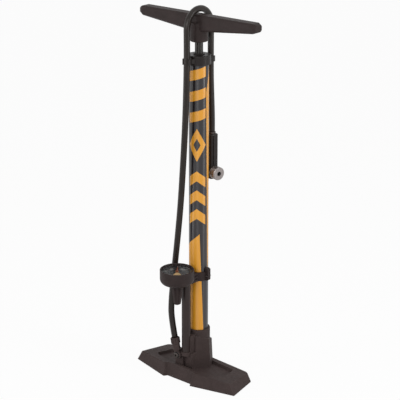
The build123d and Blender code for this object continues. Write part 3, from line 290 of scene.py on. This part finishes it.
# ---- Barrel --------------------------------------------------------------------------------------
# Drawn steel tube with a dark satin coat. Gold graphics are printed on the side that faces the
# gauge: slanted bars, an open lozenge and chevrons in a strip, a long blade below them, and a line
# down the flank. Heights are above the floor, and widths run along the surface.
BARREL_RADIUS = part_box("barrel_tube")[1].x
GOLD = (0.78, 0.355, 0.025)
GOLD_DEEP = (0.70, 0.295, 0.016)
COAT_DARK = (0.005, 0.002, 0.004)
COAT_LIGHT = (0.009, 0.006, 0.008)
PRINT_FACING = math.radians(-49.3)      # plan angle of the middle of the printed side
PRINT_DEPTH = 0.00006

STRIP_MIDDLE = -0.0033
STRIP_HALF = 0.0158
BAR_HEIGHTS = (0.470, 0.560)
BAR_SLOPE = 0.30
BAR_PITCH = 0.036
BAR_SHARE = 0.48
LOZENGE_HEIGHT = 0.428
LOZENGE_HALF_WIDE = 0.0160
LOZENGE_HALF_TALL = 0.029
LOZENGE_OPEN = 0.4                      # the hole's size as a share of the lozenge
CHEVRON_HEIGHTS = (0.296, 0.384)
CHEVRON_SLOPE = -0.75
CHEVRON_PITCH = 0.034
CHEVRON_SHARE = 0.52

BLADE_HEIGHTS = (0.0, 0.266)
BLADE_SLOPE = 0.9                       # slant of the blade's tip
BLADE_LEFT = -0.0260
BLADE_RIGHT = 0.0124                    # at the floor; the blade narrows as it rises
BLADE_TAPER = 0.040
FLANK_HEIGHTS = (0.125, 0.465)
FLANK_SLOPE = 4.0
FLANK_NEAR = 0.0215                     # at the floor; the line widens as it rises
FLANK_TAPER = 0.0150
FLANK_FAR = 0.0440


def object_place(tree):
    """The X, Y and Z of a point on the piece."""
    place = tree.nodes.new("ShaderNodeTexCoord")
    parted = tree.nodes.new("ShaderNodeSeparateXYZ")
    tree.links.new(place.outputs["Object"], parted.inputs["Vector"])
    return tuple(parted.outputs)


def towards(tree, x, y, angle):
    """How far a point lies from the axis in a plan direction."""
    return worked_out(tree, "ADD", worked_out(tree, "MULTIPLY", x, math.cos(angle)),
                      worked_out(tree, "MULTIPLY", y, math.sin(angle)))


def both(tree, first, second):
    """1 where two shapes overlap."""
    return worked_out(tree, "MULTIPLY", first, second)


def either(tree, first, second):
    """1 where at least one of two shapes lies."""
    return worked_out(tree, "MAXIMUM", first, second)


def between(tree, value, low, high):
    """1 where a value lies between two limits, else 0."""
    return both(tree, worked_out(tree, "GREATER_THAN", value, low),
                worked_out(tree, "LESS_THAN", value, high))


def slanted(tree, height, sideways, slope):
    """Height measured from a line that rises with the distance sideways."""
    return worked_out(tree, "SUBTRACT", height, worked_out(tree, "MULTIPLY", sideways, slope))


def leaning_edge(tree, height, foot, taper):
    """Where an edge stands that starts at its foot and leans as it rises."""
    return worked_out(tree, "SUBTRACT", foot, worked_out(tree, "MULTIPLY", height, taper))


def repeated(tree, value, span, pitch, share):
    """1 over the first share of every pitch in a span."""
    steps = worked_out(tree, "DIVIDE", worked_out(tree, "SUBTRACT", value, span[0]), pitch)
    filled = worked_out(tree, "LESS_THAN", worked_out(tree, "FRACT", steps), share)
    return both(tree, between(tree, value, *span), filled)


def mixed(tree, share, first, second):
    """A colour between two, each a plain colour or what another node gives."""
    mix = tree.nodes.new("ShaderNodeMix")
    mix.data_type = "RGBA"
    tree.links.new(share, mix.inputs["Factor"])
    for side, colour in (("A", first), ("B", second)):
        if isinstance(colour, tuple):
            mix.inputs[side].default_value = (*colour, 1.0)
        else:
            tree.links.new(colour, mix.inputs[side])
    return mix.outputs["Result"]


def drawn_sheen(shader):
    """Spread the shine along a drawn tube, which stands upright."""
    shader.inputs["Anisotropic"].default_value = 0.9
    shader.inputs["Anisotropic Rotation"].default_value = 0.25


barrel_print, shader = new_material("barrel_print", COAT_DARK, 0.22)
shader.inputs["Specular IOR Level"].default_value = 0.7
drawn_sheen(shader)
tree = barrel_print.node_tree
x, y, height = object_place(tree)
ahead = towards(tree, x, y, PRINT_FACING)
beside = towards(tree, x, y, PRINT_FACING + math.pi / 2)
around = worked_out(tree, "MULTIPLY", worked_out(tree, "ARCTAN2", beside, ahead), BARREL_RADIUS)
across = worked_out(tree, "SUBTRACT", around, STRIP_MIDDLE)
off_middle = worked_out(tree, "ABSOLUTE", across)

bars = repeated(tree, slanted(tree, height, across, BAR_SLOPE), BAR_HEIGHTS, BAR_PITCH, BAR_SHARE)
chevrons = repeated(tree, slanted(tree, height, off_middle, CHEVRON_SLOPE), CHEVRON_HEIGHTS,
                    CHEVRON_PITCH, CHEVRON_SHARE)
off_lozenge = worked_out(tree, "ABSOLUTE", worked_out(tree, "SUBTRACT", height, LOZENGE_HEIGHT))
lozenge_reach = worked_out(tree, "ADD", worked_out(tree, "DIVIDE", off_lozenge, LOZENGE_HALF_TALL),
                           worked_out(tree, "DIVIDE", off_middle, LOZENGE_HALF_WIDE))
open_lozenge = between(tree, lozenge_reach, LOZENGE_OPEN, 1.0)
on_strip = worked_out(tree, "LESS_THAN", off_middle, STRIP_HALF)
motifs = both(tree, on_strip, either(tree, either(tree, chevrons, bars), open_lozenge))

blade_edge = leaning_edge(tree, height, BLADE_RIGHT, BLADE_TAPER)
blade = both(tree, between(tree, around, BLADE_LEFT, blade_edge),
             between(tree, slanted(tree, height, around, BLADE_SLOPE), *BLADE_HEIGHTS))
flank_edge = leaning_edge(tree, height, FLANK_NEAR, FLANK_TAPER)
flank = both(tree, between(tree, around, flank_edge, FLANK_FAR),
             between(tree, slanted(tree, height, around, FLANK_SLOPE), *FLANK_HEIGHTS))
gold_mask = either(tree, either(tree, motifs, blade), flank)

cloud = speckle(tree, 35.0)
printed = mixed(tree, gold_mask, mixed(tree, cloud, COAT_DARK, COAT_LIGHT),
                mixed(tree, cloud, GOLD, GOLD_DEEP))
tree.links.new(printed, shader.inputs["Base Color"])
roughened(tree, shader, speckle(tree, 90.0, stretch=(1.0, 1.0, 0.1)), 0.32, 0.40)
bumped(tree, shader, gold_mask, strength=0.3, depth=PRINT_DEPTH)
dress(barrel_print, "barrel_tube")


# ---- Rod -----------------------------------------------------------------------------------------
# Steel tube with a dark plating, polished along its length so that the bush and the wiper run on
# it. The piston is screwed to its foot, and the handle is bolted to its top.
rod_plate, shader = new_material("rod_plate", (0.030, 0.028, 0.026), 0.25, metallic=0.7)
drawn_sheen(shader)
tree = rod_plate.node_tree
two_tone(tree, shader, speckle(tree, 300.0, stretch=(1.0, 1.0, 0.05)),
         (0.026, 0.024, 0.022), (0.040, 0.037, 0.034))
roughened(tree, shader, speckle(tree, 400.0, stretch=(1.0, 1.0, 0.04)), 0.24, 0.36)
dress(rod_plate, "piston_rod")


# ---- Riser column --------------------------------------------------------------------------------
# Smooth dark tube that stands in the foot's saddle and carries the gauge. It is coated, and a
# little shinier than the mouldings that it joins.
column_coat, shader = new_material("column_coat", (0.020, 0.0155, 0.015), 0.34)
shader.inputs["Specular IOR Level"].default_value = 0.3
tree = column_coat.node_tree
two_tone(tree, shader, speckle(tree, 40.0), (0.021, 0.0125, 0.011), (0.028, 0.0175, 0.0155))
roughened(tree, shader, speckle(tree, 160.0), 0.30, 0.42)
bumped(tree, shader, speckle(tree, 1800.0, detail=2.0), strength=0.2, depth=0.00006)
dress(column_coat, "gauge_riser")


# ---- Gauge ---------------------------------------------------------------------------------------
# A face-up dial in near black, printed with a grey scale from 0 to 10 that runs clockwise, two grey
# fields, a thin ring, and a gold field over the working range. A brown-red needle turns over it
# under a flat clear lens, which the bezel holds down.
DIAL_LOW, DIAL_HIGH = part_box("gauge_dial")
DIAL_CENTRE = Vector((0.0, (DIAL_LOW.y + DIAL_HIGH.y) / 2, DIAL_HIGH.z))
DIAL_BLACK = (0.012, 0.011, 0.011)
DIAL_GREY = (0.16, 0.156, 0.148)
DIAL_GOLD = (0.62, 0.42, 0.20)
FIELD_RING = (0.0110, 0.0168)
GREY_FIELDS = ((24.0, 66.0), (300.0, 330.0))    # degrees along the scale
THIN_RING = (0.0176, 0.0180)
GOLD_RING = (0.0050, 0.0172)
GOLD_FIELD = (150.0, 200.0)

SCALE_START = math.radians(128.0)       # plan angle of zero; the scale runs clockwise
SCALE_SWEEP = math.radians(270.0)
SCALE_STEPS = 50
LONG_EVERY = 5                          # fine steps from one long mark to the next
FIGURE_EVERY = 10
MARK_OUTER = 0.0258
LONG_MARK_INNER = 0.0222
LONG_MARK_WIDTH = 0.00055
FINE_MARK_INNER = 0.0238
FINE_MARK_WIDTH = 0.00032
FIGURES_RADIUS = 0.0200
FIGURES_SIZE = 0.0042
FIGURES_TURN = math.radians(-97.0)
PRINT_THICK = 0.00006                   # the print stands this far out of the dial, and in it


def sector(tree, outwards, turned, ring, field):
    """1 inside a piece of a ring, between two angles along the scale in degrees."""
    first, last = field
    return both(tree, between(tree, outwards, *ring),
                between(tree, turned, math.radians(first), math.radians(last)))


def scale_mark(inner, width):
    """One raised mark of the scale, pointing along X from the dial's centre at the origin."""
    middle = (inner + MARK_OUTER) / 2
    deselect_all()
    bpy.ops.mesh.primitive_plane_add(size=1.0, location=(middle, 0, -PRINT_THICK))
    mark = bpy.context.object
    mark.scale = (MARK_OUTER - inner, width, 1.0)
    bpy.ops.object.transform_apply(location=True, rotation=True, scale=True)
    bpy.ops.object.mode_set(mode="EDIT")
    bpy.ops.mesh.select_all(action="SELECT")
    bpy.ops.mesh.extrude_region_move(TRANSFORM_OT_translate={"value": (0, 0, 2 * PRINT_THICK)})
    bpy.ops.mesh.select_all(action="SELECT")
    bpy.ops.mesh.normals_make_consistent(inside=False)
    bpy.ops.object.mode_set(mode="OBJECT")
    return mark


def turned_copy(mark, angle):
    """A copy of a mark with its own mesh, on the dial at a plan angle."""
    copy = mark.copy()
    copy.data = mark.data.copy()
    copy.data.transform(Matrix.Translation(DIAL_CENTRE) @ Matrix.Rotation(angle, 4, "Z"))
    bpy.context.collection.objects.link(copy)
    return copy


def scale_figure(words, angle):
    """One figure of the scale, flat on the dial and upright to its reader."""
    middle = DIAL_CENTRE + FIGURES_RADIUS * Vector((math.cos(angle), math.sin(angle), 0))
    deselect_all()
    bpy.ops.object.text_add(location=middle, rotation=(0, 0, FIGURES_TURN))
    figure = bpy.context.object
    figure.data.body = words
    figure.data.size = FIGURES_SIZE
    figure.data.align_x = "CENTER"
    figure.data.align_y = "CENTER"
    figure.data.extrude = PRINT_THICK
    figure.data.resolution_u = 4
    bpy.ops.object.convert(target="MESH")
    return bpy.context.object


dial_face, shader = new_material("dial_face", DIAL_BLACK, 0.4)
shader.inputs["Specular IOR Level"].default_value = 0.15
tree = dial_face.node_tree
x, y = object_place(tree)[:2]
dial_x = worked_out(tree, "SUBTRACT", x, DIAL_CENTRE.x)
dial_y = worked_out(tree, "SUBTRACT", y, DIAL_CENTRE.y)
outwards = worked_out(tree, "SQRT", worked_out(tree, "ADD",
                                               worked_out(tree, "MULTIPLY", dial_x, dial_x),
                                               worked_out(tree, "MULTIPLY", dial_y, dial_y)))
turned = worked_out(tree, "SUBTRACT", SCALE_START, worked_out(tree, "ARCTAN2", dial_y, dial_x))
turned = worked_out(tree, "FLOORED_MODULO", turned, 2 * math.pi)
grey_mask = between(tree, outwards, *THIN_RING)
for field in GREY_FIELDS:
    grey_mask = either(tree, grey_mask, sector(tree, outwards, turned, FIELD_RING, field))
gold_mask = sector(tree, outwards, turned, GOLD_RING, GOLD_FIELD)
dial_print = mixed(tree, gold_mask, mixed(tree, grey_mask, DIAL_BLACK, DIAL_GREY), DIAL_GOLD)
tree.links.new(dial_print, shader.inputs["Base Color"])
roughened(tree, shader, speckle(tree, 400.0), 0.34, 0.50)
bumped(tree, shader, speckle(tree, 3000.0, detail=2.0), strength=0.15, depth=0.00003)
dress(dial_face, "gauge_dial")

long_mark = scale_mark(LONG_MARK_INNER, LONG_MARK_WIDTH)
fine_mark = scale_mark(FINE_MARK_INNER, FINE_MARK_WIDTH)
marks = []
for step in range(SCALE_STEPS + 1):
    angle = SCALE_START - SCALE_SWEEP * step / SCALE_STEPS
    marks.append(turned_copy(fine_mark if step % LONG_EVERY else long_mark, angle))
    if step % FIGURE_EVERY == 0:
        marks.append(scale_figure(str(step // LONG_EVERY), angle))
bpy.data.objects.remove(long_mark)
bpy.data.objects.remove(fine_mark)
deselect_all()
for mark in marks:
    mark.select_set(True)
bpy.context.view_layer.objects.active = marks[0]
bpy.ops.object.join()
dial_scale = bpy.context.object
dial_scale.name = "dial_scale"
bpy.ops.object.transform_apply(location=True, rotation=True, scale=True)
scale_ink, shader = new_material("scale_ink", (0.34, 0.34, 0.32), 0.5)
tree = scale_ink.node_tree
two_tone(tree, shader, speckle(tree, 700.0), (0.30, 0.30, 0.285), (0.38, 0.38, 0.36))
roughened(tree, shader, speckle(tree, 900.0), 0.42, 0.60)
bumped(tree, shader, speckle(tree, 4000.0), strength=0.1, depth=0.00002)
dial_scale.data.materials.clear()
dial_scale.data.materials.append(scale_ink)
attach(dial_scale, "pump")

needle_enamel, shader = new_material("needle_enamel", (0.26, 0.07, 0.03), 0.35)
tree = needle_enamel.node_tree
two_tone(tree, shader, speckle(tree, 500.0), (0.22, 0.055, 0.022), (0.31, 0.085, 0.036))
roughened(tree, shader, speckle(tree, 700.0), 0.28, 0.42)
bumped(tree, shader, speckle(tree, 2500.0), strength=0.1, depth=0.00002)
dress(needle_enamel, "gauge_needle")

clear_lens, shader = new_material("clear_lens", (0.10, 0.10, 0.10), 0.06)
shader.inputs["Alpha"].default_value = 0.06
tree = clear_lens.node_tree
roughened(tree, shader, speckle(tree, 120.0), 0.03, 0.09)
bumped(tree, shader, speckle(tree, 60.0), strength=0.05, depth=0.00002)
dress(clear_lens, "gauge_lens")


# ---- Hose ----------------------------------------------------------------------------------------
# One length of black rubber hose, 10.8 mm thick, from the union on the foot up past the gauge, over
# the handle and down to the head. It is pushed on the union's barb and held in the cap's two clips.
# Its skin has a soft shine and faint marks of the braid under it.
HOSE_RADIUS = 0.0054
HOSE_SIDES = 20
HOSE_FINENESS = 14                      # points of the line to each point of the route
HOSE_ROUTE = [
    (-0.01798, -0.043, 0.07485), (-0.0262, -0.0432, 0.1116), (-0.0275, -0.0412, 0.14),
    (-0.0288, -0.0356, 0.172), (-0.0288, -0.0296, 0.21), (-0.025, -0.0276, 0.252),
    (-0.0164, -0.0286, 0.318), (-0.009, -0.03, 0.396), (-0.0035, -0.0303, 0.474),
    (-0.001, -0.0305, 0.535), (0.0, -0.0305, 0.58), (0.0, -0.0305, 0.609),
    (0.0, -0.031, 0.6404), (0.0, -0.0128, 0.6586), (0.0, 0.0128, 0.6586),
    (0.0, 0.031, 0.6404), (0.0, 0.0305, 0.609), (0.0, 0.0305, 0.58),
    (0.0, 0.0305, 0.54), (0.0012, 0.0314, 0.496), (0.002, 0.032, 0.466),
    (0.002, 0.032, 0.442),
]


def spline_line(name, route, fineness):
    """The smooth line through a route, as the points of an open NURBS curve with no bevel."""
    curve = bpy.data.curves.new(name, "CURVE")
    curve.dimensions = "3D"
    curve.resolution_u = fineness
    spline = curve.splines.new("NURBS")
    spline.points.add(len(route) - 1)
    for point, place in zip(spline.points, route):
        point.co = (*place, 1.0)
    spline.order_u = 3
    spline.use_endpoint_u = True
    holder = bpy.data.objects.new(name, curve)
    line = bpy.data.meshes.new_from_object(holder)
    points = [vertex.co.copy() for vertex in line.vertices]
    bpy.data.objects.remove(holder)
    bpy.data.curves.remove(curve)
    bpy.data.meshes.remove(line)
    return points


def tube_along(name, points, radius, sides):
    """A closed tube along points, whose rings keep their turn from one to the next."""
    vertices, faces = [], []
    along = (points[1] - points[0]).normalized()
    across = along.orthogonal().normalized()
    for i, place in enumerate(points):
        ahead = points[min(i + 1, len(points) - 1)] - points[max(i - 1, 0)]
        turn = along.rotation_difference(ahead.normalized())
        across = (turn @ across).normalized()
        along = ahead.normalized()
        side = along.cross(across)
        for k in range(sides):
            angle = 2 * math.pi * k / sides
            outwards = math.cos(angle) * across + math.sin(angle) * side
            vertices.append(place + radius * outwards)
    for i in range(len(points) - 1):
        for k in range(sides):
            a, b = i * sides + k, i * sides + (k + 1) % sides
            faces.append((a, b, b + sides, a + sides))
    faces.append(tuple(reversed(range(sides))))
    faces.append(tuple(range((len(points) - 1) * sides, len(points) * sides)))
    mesh = bpy.data.meshes.new(name)
    mesh.from_pydata(vertices, [], faces)
    mesh.update()
    tube = bpy.data.objects.new(name, mesh)
    bpy.context.scene.collection.objects.link(tube)
    for face in mesh.polygons:
        face.use_smooth = len(face.vertices) == 4
    return tube


hose_line = spline_line("hose_line", HOSE_ROUTE, HOSE_FINENESS)
air_hose = tube_along("air_hose", hose_line, HOSE_RADIUS, HOSE_SIDES)
hose_rubber, shader = new_material("hose_rubber", (0.022, 0.019, 0.018), 0.42)
shader.inputs["Specular IOR Level"].default_value = 0.3
tree = hose_rubber.node_tree
two_tone(tree, shader, speckle(tree, 120.0, stretch=(1.0, 1.0, 0.25)),
         (0.012, 0.0075, 0.0055), (0.017, 0.0115, 0.009))
roughened(tree, shader, speckle(tree, 260.0), 0.28, 0.40)
bumped(tree, shader, speckle(tree, 900.0, detail=2.0, stretch=(1.0, 1.0, 0.4)),
       strength=0.25, depth=0.0001)
air_hose.data.materials.append(hose_rubber)
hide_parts("hose_riser", "hose_loop", "hose_drop")
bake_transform(air_hose)


# ---- Chuck cap -----------------------------------------------------------------------------------
# Die-cast collar in satin silver that closes the head over the valve gasket. It has fine tool marks
# round its bore.
silver, shader = new_material("silver_collar", (0.26, 0.235, 0.23), 0.38, metallic=0.75)
tree = silver.node_tree
two_tone(tree, shader, speckle(tree, 260.0), (0.23, 0.205, 0.20), (0.30, 0.27, 0.26))
roughened(tree, shader, speckle(tree, 500.0), 0.32, 0.48)
bumped(tree, shader, speckle(tree, 1500.0), strength=0.3, depth=0.00008)
dress(silver, "chuck_cap")
